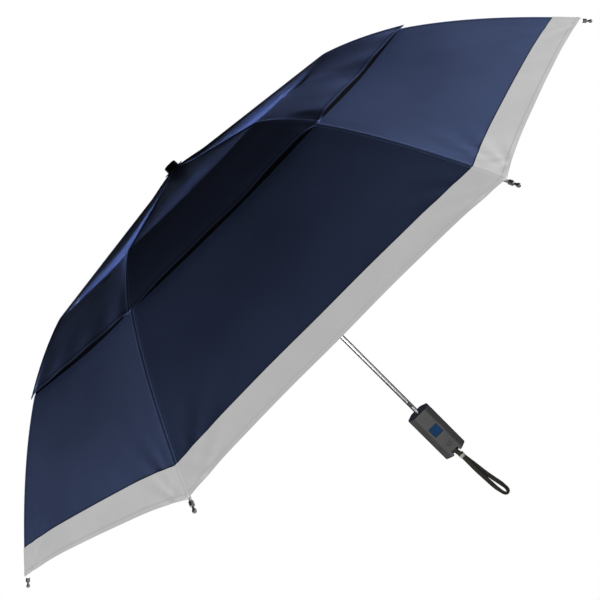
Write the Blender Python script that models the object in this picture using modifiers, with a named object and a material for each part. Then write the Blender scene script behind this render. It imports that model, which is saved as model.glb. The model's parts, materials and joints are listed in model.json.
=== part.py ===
"""Folding umbrella with a vented double canopy, opened, built as an assembly of separate pieces.

Frame: metres, +Z up the shaft towards the crown, origin on the shaft's axis at the middle of the handle.
The handle's button faces -Y. A rib lies in a plane through the shaft's axis, and 22.5 degrees to each side
of -Y. In such a plane, r is the distance from the axis and z the height.
"""

import math

import bmesh
import bpy
from mathutils import Matrix, Vector

# ---------------------------------------------------------------- driving dimensions
RIBS = 8
FIRST_RIB_DEG = -90.0 + 180.0 / RIBS
GAP = 0.0003

# Rib plane, (r, z)
ELBOW = Vector((0.2427, 0.4826))
VENT_HEM = Vector((0.3344, 0.4402))
TIP = Vector((0.4900, 0.2995))
ELBOW_SLOPE_DEG = 17.5
TIP_SLOPE_DEG = 46.5
VENT_HEM_SLOPE_DEG = 31.0
CROWN_EDGE = [(0.0085, 0.5137), (0.0160, 0.5130), (0.0500, 0.5063), (0.1200, 0.4977)]
STATIONS = 9
LOWER_START = 0.03
BORDER_START = 0.90
HEM_AT = 0.972
FABRIC = 0.0006

CROWN_PIVOT = Vector((0.0085, 0.4975))
MIDDLE_PIVOT = Vector((0.1245, 0.4913))
ELBOW_PIVOT = Vector((0.2405, 0.4774))
PIVOT_OFFSET = 0.0019
BAR_HALF = 0.0011
BAR_WIDE = 0.0024
EYE = 0.0019
HOLE = 0.0010
PIN = 0.0007
LUG_IN = 0.0015
LUG_OUT = 0.0031
SPREADER_ARM = 0.0250
ROOT = 0.0045
ROOT_END = 0.0120
OUTER_HALF = 0.0010
OUTER_WIDE = 0.0020
OUTER_LUG_OUT = 0.0029

RUNNER_HINGE = Vector((0.0090, 0.3966))
RUNNER_SIDE = 0.0041
STRETCHER_IN = 0.0034
STRETCHER_OUT = 0.0048
WIRE = 0.0005

UPPER_TUBE = (0.0047, 0.0042)
UPPER_TUBE_Z = (0.2000, 0.5065)
NECK = (0.0041, 0.0036)
LOWER_TUBE = (0.00325, 0.00275)
LOWER_TUBE_Z = (-0.0300, 0.2360)

HANDLE_HALF_WIDE = 0.0185
HANDLE_HALF_DEEP = 0.0110
HANDLE_PANEL_HALF = 0.0100
HANDLE_SIDE_HALF = 0.0035
HANDLE_Z = (-0.0420, 0.0390)
HANDLE_WALL = 0.0020
HANDLE_ROUND = 0.0016
BUTTON_WINDOW = (0.0076, 0.0080)
BUTTON_Z = 0.0050
NOTCH_HALF = 0.0055
NOTCH_TOP = -0.0350
CATCH_Z = 0.0560

STRAP_ROUTE_MM = [
    (-1.0, -9.2, -36.0), (0.2, -9.3, -43.0), (1.4, -9.4, -51.0), (1.4, -9.6, -62.0), (1.3, -9.9, -80.0),
    (2.0, -10.0, -98.0), (2.6, -9.6, -112.0), (3.6, -9.0, -126.0), (6.0, -8.4, -138.0), (9.6, -8.0, -143.0),
    (12.6, -7.6, -141.0), (13.6, -7.2, -134.0), (12.4, -6.8, -124.0), (9.8, -6.4, -110.0),
    (7.4, -6.2, -95.0), (5.4, -6.2, -78.0), (3.4, -6.4, -62.0), (2.0, -6.6, -51.0), (0.6, -6.6, -43.0),
    (-0.6, -6.6, -36.0),
]
STRAP_THICK = 0.0018
STRAP_POINTS = 72
CRIMP_CENTRE = Vector((0.0016, -0.0080, -0.0505))
CRIMP_OUTER = Vector((0.0088, 0.0066, 0.0050))
CRIMP_INNER = Vector((0.0072, 0.0052, 0.0080))

# ---------------------------------------------------------------- scene
for old in list(bpy.data.objects):
    bpy.data.objects.remove(old, do_unlink=True)

parts = bpy.data.collections.new("folding_umbrella")
bpy.context.scene.collection.children.link(parts)
cutters = bpy.data.collections.new("cutters")
cutters.hide_render = True
bpy.context.scene.collection.children.link(cutters)


def make_material(name, colour, roughness, metallic=0.0):
    material = bpy.data.materials.new(name)
    material.use_nodes = True
    shader = material.node_tree.nodes["Principled BSDF"]
    shader.inputs["Base Color"].default_value = (*colour, 1.0)
    shader.inputs["Roughness"].default_value = roughness
    shader.inputs["Metallic"].default_value = metallic
    return material


NAVY = make_material("navy_fabric", (0.016, 0.020, 0.045), 0.8)
GREY = make_material("grey_fabric", (0.55, 0.55, 0.55), 0.7)
STEEL = make_material("rib_steel", (0.55, 0.55, 0.56), 0.3, 1.0)
CHROME = make_material("shaft_chrome", (0.75, 0.75, 0.76), 0.12, 1.0)
BLACK = make_material("black_plastic", (0.02, 0.02, 0.02), 0.45)
CHARCOAL = make_material("handle_plastic", (0.06, 0.06, 0.06), 0.5)
BLUE = make_material("button_plastic", (0.01, 0.05, 0.16), 0.4)
WEBBING = make_material("strap_webbing", (0.02, 0.02, 0.018), 0.85)
CRIMP = make_material("crimp_metal", (0.62, 0.60, 0.52), 0.35, 1.0)


# ---------------------------------------------------------------- mesh helpers
def link_object(name, mesh, material, parent=None, location=(0, 0, 0), rotation=(0, 0, 0)):
    """A part in the umbrella's collection, with its own material."""
    obj = bpy.data.objects.new(name, mesh)
    parts.objects.link(obj)
    obj.location = location
    obj.rotation_euler = rotation
    obj.parent = parent
    if not mesh.materials:
        mesh.materials.append(material)
    if isinstance(mesh, bpy.types.Mesh):
        mesh.shade_smooth()
        mesh.set_sharp_from_angle(angle=math.radians(35))
    return obj


def evaluated_mesh(obj, name):
    """The object's shape after its modifiers as a plain mesh in its own frame, with the object removed."""
    bpy.context.view_layer.update()
    graph = bpy.context.evaluated_depsgraph_get()
    mesh = bpy.data.meshes.new_from_object(obj.evaluated_get(graph), depsgraph=graph)
    mesh.name = name
    bm = bmesh.new()
    bm.from_mesh(mesh)
    bmesh.ops.remove_doubles(bm, verts=bm.verts, dist=1e-6)
    bm.to_mesh(mesh)
    bm.free()
    bpy.data.objects.remove(obj, do_unlink=True)
    return mesh


def scratch(data):
    obj = bpy.data.objects.new("scratch", data)
    parts.objects.link(obj)
    return obj


def boolean(mesh, tool, operation):
    """mesh joined with, or cut by, tool: both are meshes in one frame."""
    body = scratch(mesh)
    other = scratch(tool)
    modifier = body.modifiers.new(operation.lower(), "BOOLEAN")
    modifier.operation = operation
    modifier.object = other
    result = evaluated_mesh(body, mesh.name)
    bpy.data.objects.remove(other, do_unlink=True)
    return result


def joined(meshes):
    result = meshes[0]
    for mesh in meshes[1:]:
        result = boolean(result, mesh, "UNION")
    return result


def cut(mesh, tools):
    for tool in tools:
        mesh = boolean(mesh, tool, "DIFFERENCE")
    return mesh


def arc(centre, radius, start_deg, end_deg, steps):
    """Points on a circle, both ends included."""
    found = []
    for k in range(steps + 1):
        angle = math.radians(start_deg + (end_deg - start_deg) * k / steps)
        found.append((centre[0] + radius * math.cos(angle), centre[1] + radius * math.sin(angle)))
    return found


def circle(centre, radius, steps=12):
    return arc(centre, radius, 0, 360 - 360 / steps, steps - 1)


def plate(outlines, low, high):
    """A flat plate in the (x, z) plane between y = low and y = high. The first outline is its edge."""
    data = bpy.data.curves.new("plate", "CURVE")
    data.dimensions = "2D"
    data.fill_mode = "BOTH"
    data.extrude = (high - low) / 2
    for points in outlines:
        spline = data.splines.new("POLY")
        spline.points.add(len(points) - 1)
        for place, (x, z) in zip(spline.points, points):
            place.co = (x, z, 0, 1)
        spline.use_cyclic_u = True
    mesh = evaluated_mesh(scratch(data), "plate")
    mesh.transform(Matrix.Translation((0, (low + high) / 2, 0)) @ Matrix.Rotation(math.pi / 2, 4, "X"))
    return mesh


def box(low, high):
    """A box between two corners."""
    low, high = Vector(low), Vector(high)
    bm = bmesh.new()
    bmesh.ops.create_cube(bm, size=1.0)
    size = high - low
    bmesh.ops.transform(bm, matrix=Matrix.Diagonal((*size, 1.0)), verts=bm.verts)
    bmesh.ops.translate(bm, vec=(low + high) / 2, verts=bm.verts)
    mesh = bpy.data.meshes.new("box")
    bm.to_mesh(mesh)
    bm.free()
    return mesh


def rod(centre, direction, radius, length, steps=12):
    """A cylinder about a point, along a direction."""
    bm = bmesh.new()
    turn = Vector(direction).to_track_quat("Z", "Y").to_matrix().to_4x4()
    bmesh.ops.create_cone(
        bm,
        cap_ends=True,
        segments=steps,
        radius1=radius,
        radius2=radius,
        depth=length,
        matrix=Matrix.Translation(centre) @ turn,
    )
    mesh = bpy.data.meshes.new("rod")
    bm.to_mesh(mesh)
    bm.free()
    return mesh


def turned(name, profile, steps, closed=True):
    """A solid of revolution about Z from (r, z) points that run down its outer side."""
    mesh = bpy.data.meshes.new(name)
    edges = [(k, k + 1) for k in range(len(profile) - 1)]
    if closed:
        edges.append((len(profile) - 1, 0))
    mesh.from_pydata([(r, 0, z) for r, z in profile], edges, [])
    obj = scratch(mesh)
    screw = obj.modifiers.new("screw", "SCREW")
    screw.steps = steps
    screw.render_steps = steps
    screw.use_merge_vertices = True
    screw.merge_threshold = 0.00001
    screw.use_smooth_shade = True
    return evaluated_mesh(obj, name)


def swept(name, points, radius, resolution, cyclic=False):
    """A round wire along a list of points, with filled ends."""
    data = bpy.data.curves.new(name, "CURVE")
    data.dimensions = "3D"
    data.bevel_depth = radius
    data.bevel_resolution = resolution
    data.use_fill_caps = True
    spline = data.splines.new("POLY")
    spline.points.add(len(points) - 1)
    for place, point in zip(spline.points, points):
        place.co = (*point, 1)
    spline.use_cyclic_u = cyclic
    return evaluated_mesh(scratch(data), name)


def ring_points(radius, z, steps):
    return [
        (radius * math.cos(2 * math.pi * k / steps), radius * math.sin(2 * math.pi * k / steps), z)
        for k in range(steps)
    ]


# ---------------------------------------------------------------- the rib line
def crossing(start, start_deg, end, end_deg):
    """Where a line falling at start_deg from start meets one rising at end_deg from end."""
    a = Vector((math.cos(math.radians(start_deg)), -math.sin(math.radians(start_deg))))
    b = Vector((-math.cos(math.radians(end_deg)), math.sin(math.radians(end_deg))))
    gap = end - start
    along = (gap.x * b.y - gap.y * b.x) / (a.x * b.y - a.y * b.x)
    return start + a * along


def bezier(a, b, c, t):
    return a * (1 - t) ** 2 + b * (2 * t * (1 - t)) + c * t**2


def bezier_normal(a, b, c, t):
    """The upward normal of the curve at t."""
    along = ((b - a) * (1 - t) + (c - b) * t).normalized()
    return Vector((-along.y, along.x))


RIB_CONTROL = crossing(ELBOW, ELBOW_SLOPE_DEG, TIP, TIP_SLOPE_DEG)
VENT_CONTROL = crossing(ELBOW, ELBOW_SLOPE_DEG, VENT_HEM, VENT_HEM_SLOPE_DEG)


def rib_line(t, drop):
    """A point of the fabric's line over the outer rib, from the elbow (t = 0) to the tip (t = 1)."""
    normal = bezier_normal(ELBOW, RIB_CONTROL, TIP, t)
    return bezier(ELBOW, RIB_CONTROL, TIP, t) - normal * drop


def outer_rib_drop(t):
    """How far the outer rib's centre line lies below the fabric's outer face."""
    return 0.0039 - 0.0013 * t


def vent_drop(t):
    """How far the lower canopy lies below the outer line where the top canopy covers it."""
    return 0.0018 * max(0.0, 1 - t / 0.4)


# ---------------------------------------------------------------- rib pieces, in the rib's plane
def bar_frame(start, end, rise):
    """(length, angle) of the frame at start whose x axis makes end lie at (length, rise)."""
    run = end - start
    length = math.sqrt(run.length_squared - rise**2)
    return length, math.atan2(run.y, run.x) - math.atan2(rise, length)


TOP_LENGTH, TOP_ANGLE = bar_frame(CROWN_PIVOT, MIDDLE_PIVOT, PIVOT_OFFSET)
MIDDLE_LENGTH, MIDDLE_ANGLE = bar_frame(MIDDLE_PIVOT, ELBOW_PIVOT, -2 * PIVOT_OFFSET)


def turned_vector(x, z, angle):
    return Vector((x * math.cos(angle) - z * math.sin(angle), x * math.sin(angle) + z * math.cos(angle)))


ARM_END = MIDDLE_PIVOT + turned_vector(-SPREADER_ARM, -PIVOT_OFFSET, MIDDLE_ANGLE)
STRETCHER_LENGTH, STRETCHER_ANGLE = bar_frame(RUNNER_HINGE, ARM_END, 0.0)


def top_rib_mesh():
    """Bar from the crown pivot (0, 0) to the middle pivot, which is above its end."""
    length = TOP_LENGTH
    eye = (length, PIVOT_OFFSET)
    edge = arc((0, 0), EYE, 35.4, 324.6, 12)
    edge += [(length + 0.0004, -BAR_HALF)]
    edge += arc(eye, EYE, -40, 170, 9)
    edge += [(length - 0.0032, BAR_HALF)]
    holes = [circle((0, 0), 0.00085), circle(eye, HOLE)]
    return plate([edge, *holes], -BAR_WIDE / 2, BAR_WIDE / 2)


def middle_rib_mesh():
    """Bar outwards from the middle pivot (0, 0), with an arm inwards beside the top rib."""
    length = MIDDLE_LENGTH
    low, high = -PIVOT_OFFSET - BAR_HALF, -PIVOT_OFFSET + BAR_HALF
    elbow = (length, -2 * PIVOT_OFFSET)
    bar = [(ROOT, high), (ROOT, low), (length - 0.0032, low)]
    bar += arc(elbow, EYE, 190, 400, 9)
    bar += [(length + 0.0006, high)]
    arm = arc((-SPREADER_ARM, -PIVOT_OFFSET), EYE, 35.4, 324.6, 10)
    arm += [(ROOT_END, low), (ROOT_END, high), (0.0026, high)]
    arm += arc((0, 0), EYE, -20, 200, 8)
    arm += [(-0.0032, high)]
    pieces = [
        plate([bar, circle(elbow, HOLE)], -BAR_WIDE / 2, BAR_WIDE / 2),
        box((ROOT + GAP, -BAR_WIDE / 4, low + GAP), (ROOT_END - GAP, LUG_OUT - GAP, high - GAP)),
        plate([arm], LUG_IN, LUG_OUT),
        rod((0, 0.0001, 0), (0, 1, 0), PIN, 0.0038, 10),
        rod((0, -0.0018, 0), (0, 1, 0), 0.0014, 0.0006, 10),
    ]
    return joined(pieces)


def stations(first, last, count):
    return [first + (last - first) * k / count for k in range(count + 1)]


def outer_rib_mesh():
    """Curved bar outwards from the elbow pivot (0, 0), with a lug beside the middle rib."""
    end = HEM_AT + 0.008

    def edge_point(t, side):
        point = rib_line(t, outer_rib_drop(t) - side * OUTER_HALF) - ELBOW_PIVOT
        return (point.x, point.y)

    places = [0.013, *stations(0.05, end, STATIONS)]
    bar = [edge_point(t, -1) for t in places] + [edge_point(t, 1) for t in reversed(places)]
    start, root = 0.013, 0.032
    block = [edge_point(start + 0.001, side) for side in (0.25, -0.85)]
    block += [edge_point(root, side) for side in (-0.85, 0.25)]
    lug = arc((0, 0), EYE, 75, 285, 9) + [edge_point(root + 0.002, -0.7), edge_point(root + 0.002, 0.1)]
    pieces = [
        plate([bar], -OUTER_WIDE / 2, OUTER_WIDE / 2),
        plate([block], -OUTER_WIDE / 2, OUTER_LUG_OUT - GAP),
        plate([lug], LUG_IN, OUTER_LUG_OUT),
        rod((0, 0.0001, 0), (0, 1, 0), PIN, 0.0038, 10),
        rod((0, -0.0018, 0), (0, 1, 0), 0.0014, 0.0006, 10),
    ]
    return joined(pieces)


def stretcher_mesh():
    """Bar from the runner's hinge (0, 0) to the end of the middle rib's arm."""
    length = STRETCHER_LENGTH
    edge = arc((0, 0), EYE, 35.4, 324.6, 12) + arc((length, 0), EYE, -144.6, 144.6, 12)
    holes = [circle((0, 0), 0.0011), circle((length, 0), 0.0008, 8)]
    return plate([edge, *holes], STRETCHER_IN, STRETCHER_OUT)


def rib_tip_mesh():
    """Chrome cap on the rib's end: a sleeve with a blind bore, a neck and a ball, along Z."""
    ball = 0.0021
    length = 0.0108
    centre = length - ball
    profile = [(0.0, length)]
    for angle in range(30, 150, 24):
        turn = math.radians(angle)
        profile.append((ball * math.sin(turn), centre + ball * math.cos(turn)))
    profile += [(0.0012, centre - 0.0020), (0.0012, 0.0048), (0.0023, 0.0040), (0.0023, 0.0)]
    profile += [(0.00175, 0.0), (0.00175, 0.0031), (0.0, 0.0031)]
    return turned("rib_tip", profile, 10, closed=False)


def build_ribs():
    top_mesh = top_rib_mesh()
    middle_mesh = middle_rib_mesh()
    outer_mesh = outer_rib_mesh()
    stretcher = stretcher_mesh()
    tip = rib_tip_mesh()
    hem = HEM_AT + 0.0045
    tip_place = rib_line(hem, outer_rib_drop(hem))
    ahead = rib_line(1.0, outer_rib_drop(1.0)) - tip_place
    tip_tilt = math.atan2(ahead.x, ahead.y)
    for k in range(RIBS):
        number = k + 1
        plane = bpy.data.objects.new(f"rib_plane_{number}", None)
        parts.objects.link(plane)
        plane.rotation_euler = (0, 0, math.radians(FIRST_RIB_DEG + 360.0 / RIBS * k))
        pieces = [
            ("top_rib", top_mesh, CROWN_PIVOT, -TOP_ANGLE, STEEL),
            ("middle_rib", middle_mesh, MIDDLE_PIVOT, -MIDDLE_ANGLE, STEEL),
            ("outer_rib", outer_mesh, ELBOW_PIVOT, 0.0, STEEL),
            ("rib_tip", tip, tip_place, tip_tilt, CHROME),
            ("stretcher", stretcher, RUNNER_HINGE, -STRETCHER_ANGLE, STEEL),
        ]
        for name, mesh, place, tilt, material in pieces:
            link_object(f"{name}_{number}", mesh, material, plane, (place.x, 0, place.y), (0, tilt, 0))


# ---------------------------------------------------------------- crown, shaft and runner
def around(mesh, count, first_deg):
    """Copies of a cutter turned about Z."""
    found = []
    for k in range(count):
        copy = mesh.copy()
        copy.transform(Matrix.Rotation(math.radians(first_deg + 360.0 / count * k), 4, "Z"))
        found.append(copy)
    return found


def groove(inner, outer, low, high):
    return turned("groove", [(outer, high), (outer, low), (inner, low), (inner, high)], 32)


def build_crown():
    z = CROWN_PIVOT.y
    profile = [
        (0.0, 0.5118), (0.0075, 0.5118), (0.0075, z + 0.0065), (0.0098, z + 0.0060), (0.0104, z + 0.0052),
        (0.0104, z - 0.0040), (0.0050, z - 0.0040), (0.0050, 0.5075), (0.0, 0.5075),
    ]
    body = turned("top_notch", profile, 32, closed=False)
    tools = [groove(0.0077, 0.0093, z - 0.0060, z + 0.0009)]
    tools += around(box((0.0064, -0.0015, z - 0.0060), (0.0140, 0.0015, z + 0.0023)), RIBS, FIRST_RIB_DEG)
    link_object("top_notch", cut(body, tools), BLACK)
    link_object("notch_wire", swept("notch_wire", ring_points(CROWN_PIVOT.x, z, 32), WIRE, 1, True), STEEL)
    washer = [
        (0.0146, 0.5151), (0.0150, 0.5148), (0.0150, 0.5145), (0.0146, 0.5142), (0.0044, 0.5142), (0.0044, 0.5151),
    ]
    link_object("crown_washer", turned("crown_washer", washer, 32), BLACK)
    cap = [
        (0.0, 0.5236), (0.0060, 0.5234), (0.0082, 0.5228), (0.0090, 0.5218), (0.0092, 0.5156),
        (0.0084, 0.5154), (0.0040, 0.5154), (0.0040, 0.5121), (0.0, 0.5121),
    ]
    link_object("crown_cap", turned("crown_cap", cap, 28, closed=False), BLACK)


def build_shaft():
    outer, inner = UPPER_TUBE
    low, high = UPPER_TUBE_Z
    neck_out, neck_in = NECK
    upper = [
        (outer, high), (outer, low + 0.0075), (neck_out, low + 0.0065), (neck_out, low),
        (neck_in, low), (neck_in, low + 0.0060), (inner, low + 0.0070), (inner, high),
    ]
    link_object("upper_tube", turned("upper_tube", upper, 20), CHROME)
    outer, inner = LOWER_TUBE
    low, high = LOWER_TUBE_Z
    lower = [
        (0.0039, high), (0.0039, high - 0.0030), (outer, high - 0.0045), (outer, low),
        (inner, low), (inner, high),
    ]
    slot = box((-0.0014, -0.0060, CATCH_Z - 0.0045), (0.0014, 0.0, CATCH_Z + 0.0045))
    tube = boolean(turned("lower_tube", lower, 20), slot, "DIFFERENCE")
    link_object("lower_tube", tube, CHROME)
    catch = [(-0.0010, -0.0035), (0.0018, -0.0035), (0.0018, 0.0038), (0.0012, 0.0038), (-0.0010, -0.0015)]
    wedge = plate([catch], -0.0011, 0.0011)
    wedge.transform(Matrix.Rotation(-math.pi / 2, 4, "Z"))
    link_object("shaft_catch", wedge, BLACK, None, (0, -0.0031, CATCH_Z))
    turns, per_turn = 16, 8
    low, high = 0.2420, 0.4950
    coil = []
    for k in range(turns * per_turn + 1):
        angle = 2 * math.pi * k / per_turn
        z = low + (high - low) * k / (turns * per_turn)
        coil.append((0.0030 * math.cos(angle), 0.0030 * math.sin(angle), z))
    link_object("opening_spring", swept("opening_spring", coil, 0.0004, 1), STEEL)


def build_runner():
    z = RUNNER_HINGE.y
    profile = [
        (0.0072, z + 0.0060), (0.0072, z + 0.0030), (0.0130, z + 0.0030), (0.0134, z + 0.0024),
        (0.0134, z - 0.0024), (0.0126, z - 0.0032), (0.0080, z - 0.0038), (0.0075, z - 0.0100),
        (0.0075, z - 0.0150), (0.0092, z - 0.0172), (0.0092, z - 0.0210), (0.0086, z - 0.0216),
        (0.0050, z - 0.0216), (0.0050, z + 0.0060),
    ]
    body = turned("runner", profile, 32)
    radius = math.hypot(RUNNER_HINGE.x, RUNNER_SIDE)
    tools = [groove(radius - 0.0009, radius + 0.0009, z - 0.0009, z + 0.0080)]
    side = RUNNER_SIDE
    slot = box((0.0066, side - 0.0010, z - 0.0022), (0.0160, side + 0.0010, z + 0.0080))
    tools += around(slot, RIBS, FIRST_RIB_DEG)
    link_object("runner", cut(body, tools), BLACK)
    link_object("runner_wire", swept("runner_wire", ring_points(radius, z, 32), WIRE, 1, True), STEEL)


# ---------------------------------------------------------------- canopy
def fabric_shell(name, profile, thickness, material):
    """Eight flat-sided gores: the rib-plane profile turned in eight steps, its outer face on the profile."""
    mesh = bpy.data.meshes.new(name)
    mesh.from_pydata([(r, 0, z) for r, z in profile], [(k, k + 1) for k in range(len(profile) - 1)], [])
    obj = link_object(name, mesh, material, rotation=(0, 0, math.radians(FIRST_RIB_DEG)))
    screw = obj.modifiers.new("gores", "SCREW")
    screw.steps = RIBS
    screw.render_steps = RIBS
    screw.use_merge_vertices = True
    screw.merge_threshold = 0.00001
    screw.use_smooth_shade = False
    solidify = obj.modifiers.new("thickness", "SOLIDIFY")
    solidify.thickness = thickness
    solidify.offset = -1.0
    solidify.use_even_offset = True
    return obj


def build_canopy():
    top = [Vector(point) for point in CROWN_EDGE]
    top += [bezier(ELBOW, VENT_CONTROL, VENT_HEM, t) for t in stations(0, 1, 3)]
    fabric_shell("top_canopy", top, FABRIC, NAVY)
    lower = [rib_line(t, vent_drop(t)) for t in [LOWER_START, *stations(0.10, HEM_AT, STATIONS)]]
    fabric_shell("lower_canopy", lower, FABRIC, NAVY)
    border = [rib_line(t, -0.0008) for t in stations(BORDER_START, HEM_AT, 2)]
    fabric_shell("canopy_border", border, 0.0004, GREY)


# ---------------------------------------------------------------- handle
def handle_section(inset):
    wide, deep = HANDLE_HALF_WIDE - inset, HANDLE_HALF_DEEP - inset
    panel, side = HANDLE_PANEL_HALF - inset * 0.35, HANDLE_SIDE_HALF - inset * 0.35
    half = [(panel, -deep), (wide, -side), (wide, side), (panel, deep)]
    return half + [(-x, y) for x, y in reversed(half)]


def prism(outline, low, high):
    """An outline in the (x, y) plane drawn out between two heights."""
    data = bpy.data.curves.new("prism", "CURVE")
    data.dimensions = "2D"
    data.fill_mode = "BOTH"
    data.extrude = (high - low) / 2
    spline = data.splines.new("POLY")
    spline.points.add(len(outline) - 1)
    for place, (x, y) in zip(spline.points, outline):
        place.co = (x, y, 0, 1)
    spline.use_cyclic_u = True
    mesh = evaluated_mesh(scratch(data), "prism")
    mesh.transform(Matrix.Translation((0, 0, (low + high) / 2)))
    return mesh


def build_handle():
    low, high = HANDLE_Z
    solid = scratch(prism(handle_section(0.0), low, high))
    bevel = solid.modifiers.new("round", "BEVEL")
    bevel.width = HANDLE_ROUND
    bevel.segments = 2
    bevel.limit_method = "ANGLE"
    solid = evaluated_mesh(solid, "handle")
    wall = HANDLE_WALL
    half_wide, half_high = BUTTON_WINDOW
    tools = [
        prism(handle_section(wall), low + wall, high - wall),
        rod((0, 0, high), (0, 0, 1), LOWER_TUBE[0] + GAP, 4 * wall, 20),
        box((-half_wide, -0.0200, BUTTON_Z - half_high), (half_wide, -0.0050, BUTTON_Z + half_high)),
        box((-NOTCH_HALF, -0.0200, low - 0.0050), (NOTCH_HALF, -0.0045, NOTCH_TOP)),
        rod((0, -HANDLE_HALF_DEEP, -0.0235), (0, 1, 0), 0.0030, 0.0010, 16),
    ]
    shell = cut(solid, tools)
    front = boolean(shell.copy(), box((-0.1, -GAP / 2, -0.1), (0.1, 0.1, 0.1)), "DIFFERENCE")
    back = boolean(shell, box((-0.1, -0.1, -0.1), (0.1, GAP / 2, 0.1)), "DIFFERENCE")
    link_object("handle_front", front, CHARCOAL)
    link_object("handle_back", back, CHARCOAL)


def build_button():
    half_wide, half_high = BUTTON_WINDOW[0] - 0.0004, BUTTON_WINDOW[1] - 0.0004
    z = BUTTON_Z
    head = box((-half_wide, -0.0102, z - half_high), (half_wide, -0.0075, z + half_high))
    flange_wide, flange_high = half_wide + 0.0012, half_high + 0.0012
    flange = box((-flange_wide, -0.0086, z - flange_high), (flange_wide, -0.0075, z + flange_high))
    stem = rod((0, -0.0070, z), (0, 1, 0), 0.0012, 0.0020, 10)
    link_object("button", joined([head, flange, stem]), BLUE)
    coil = []
    for k in range(3 * 10 + 1):
        angle = 2 * math.pi * k / 10
        coil.append((0.0024 * math.cos(angle), -0.0069 + 0.0028 * k / 30, z + 0.0024 * math.sin(angle)))
    link_object("button_spring", swept("button_spring", coil, 0.00025, 1), STEEL)
    pivot = (-0.0040, -0.0100)
    lever = [(-0.0071, 0.0110), (-0.0071, 0.0085), (-0.0052, 0.0040), (-0.0052, -0.0060)]
    lever += arc(pivot, 0.0026, 150, 235, 4)
    lever += [(-0.0052, -0.0200), (-0.0030, -0.0230), (-0.0012, -0.0230), (-0.0034, -0.0180)]
    lever += arc(pivot, 0.0026, -60, 60, 4)
    lever += [(-0.0036, -0.0040), (-0.0036, 0.0060), (-0.0045, 0.0110)]
    blade = plate([lever], -0.0010, 0.0010)
    blade.transform(Matrix.Rotation(math.pi / 2, 4, "Z"))
    pin = rod((0, pivot[0], pivot[1]), (1, 0, 0), 0.0011, 0.0040, 10)
    shift = Vector((0.0062, 0, 0))
    mesh = joined([blade, pin])
    mesh.transform(Matrix.Translation((0, -pivot[0], -pivot[1])))
    link_object("latch_lever", mesh, BLACK, None, shift + Vector((0, pivot[0], pivot[1])))


# ---------------------------------------------------------------- wrist strap
def smooth_route(points, count):
    """Evenly spaced points on a smooth curve through the route's own points."""
    ends = [points[0] * 2 - points[1], *points, points[-1] * 2 - points[-2]]
    fine = []
    for k in range(len(points) - 1):
        a, b, c, d = ends[k : k + 4]
        for step in range(12):
            t = step / 12
            bend = 2 * a - 5 * b + 4 * c - d
            fine.append(0.5 * (2 * b + (c - a) * t + bend * t**2 + (3 * b - a - 3 * c + d) * t**3))
    fine.append(points[-1])
    along = [0.0]
    for p, q in zip(fine, fine[1:]):
        along.append(along[-1] + (q - p).length)
    found, k = [], 0
    for n in range(count):
        want = along[-1] * n / (count - 1)
        while k < len(along) - 2 and along[k + 1] < want:
            k += 1
        share = (want - along[k]) / (along[k + 1] - along[k])
        found.append(fine[k].lerp(fine[k + 1], share))
    return found


def build_strap():
    route = smooth_route([Vector(point) / 1000 for point in STRAP_ROUTE_MM], STRAP_POINTS)
    link_object("wrist_strap", swept("wrist_strap", route, STRAP_THICK / 2, 2), WEBBING)
    block = box(CRIMP_CENTRE - CRIMP_OUTER / 2, CRIMP_CENTRE + CRIMP_OUTER / 2)
    hollow = box(CRIMP_CENTRE - CRIMP_INNER / 2, CRIMP_CENTRE + CRIMP_INNER / 2)
    link_object("strap_crimp", boolean(block, hollow, "DIFFERENCE"), CRIMP)


build_ribs()
build_crown()
build_shaft()
build_runner()
build_canopy()
build_handle()
build_button()
build_strap()
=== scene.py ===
"""Looks of the opened folding umbrella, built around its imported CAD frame.

Metres, +Z up the shaft, origin in the middle of the handle, the handle's button faces -Y.
In the plane of a rib, r is the distance from the shaft's axis and z the height.
"""

import json
import math

import bmesh
import bpy
import numpy as np
from mathutils import Matrix, Vector

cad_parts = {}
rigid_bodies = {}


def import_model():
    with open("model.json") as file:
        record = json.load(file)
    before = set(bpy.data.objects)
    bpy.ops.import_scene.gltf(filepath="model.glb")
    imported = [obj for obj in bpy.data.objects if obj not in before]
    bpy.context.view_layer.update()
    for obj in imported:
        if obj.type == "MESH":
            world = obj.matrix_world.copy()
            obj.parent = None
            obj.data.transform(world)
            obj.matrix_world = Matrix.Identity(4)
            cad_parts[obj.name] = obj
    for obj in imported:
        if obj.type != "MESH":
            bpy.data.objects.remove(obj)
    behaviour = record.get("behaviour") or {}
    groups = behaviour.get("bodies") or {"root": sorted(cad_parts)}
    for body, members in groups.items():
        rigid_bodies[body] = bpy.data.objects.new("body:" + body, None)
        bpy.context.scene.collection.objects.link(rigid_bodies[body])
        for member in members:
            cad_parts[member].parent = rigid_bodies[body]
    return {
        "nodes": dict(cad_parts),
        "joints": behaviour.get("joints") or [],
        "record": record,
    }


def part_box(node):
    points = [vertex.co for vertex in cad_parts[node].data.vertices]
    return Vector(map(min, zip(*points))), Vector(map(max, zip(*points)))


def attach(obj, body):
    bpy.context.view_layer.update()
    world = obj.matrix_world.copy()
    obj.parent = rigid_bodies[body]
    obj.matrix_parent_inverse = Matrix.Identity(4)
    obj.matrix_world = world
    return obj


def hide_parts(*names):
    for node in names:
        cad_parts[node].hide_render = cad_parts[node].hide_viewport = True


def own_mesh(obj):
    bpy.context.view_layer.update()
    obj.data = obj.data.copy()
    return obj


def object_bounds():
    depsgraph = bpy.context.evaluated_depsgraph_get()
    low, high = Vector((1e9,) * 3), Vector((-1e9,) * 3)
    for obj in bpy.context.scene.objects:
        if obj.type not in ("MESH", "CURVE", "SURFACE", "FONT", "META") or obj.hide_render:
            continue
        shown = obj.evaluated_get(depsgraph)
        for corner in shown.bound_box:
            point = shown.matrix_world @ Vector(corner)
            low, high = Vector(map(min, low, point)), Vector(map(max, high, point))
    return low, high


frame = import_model()
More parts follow.
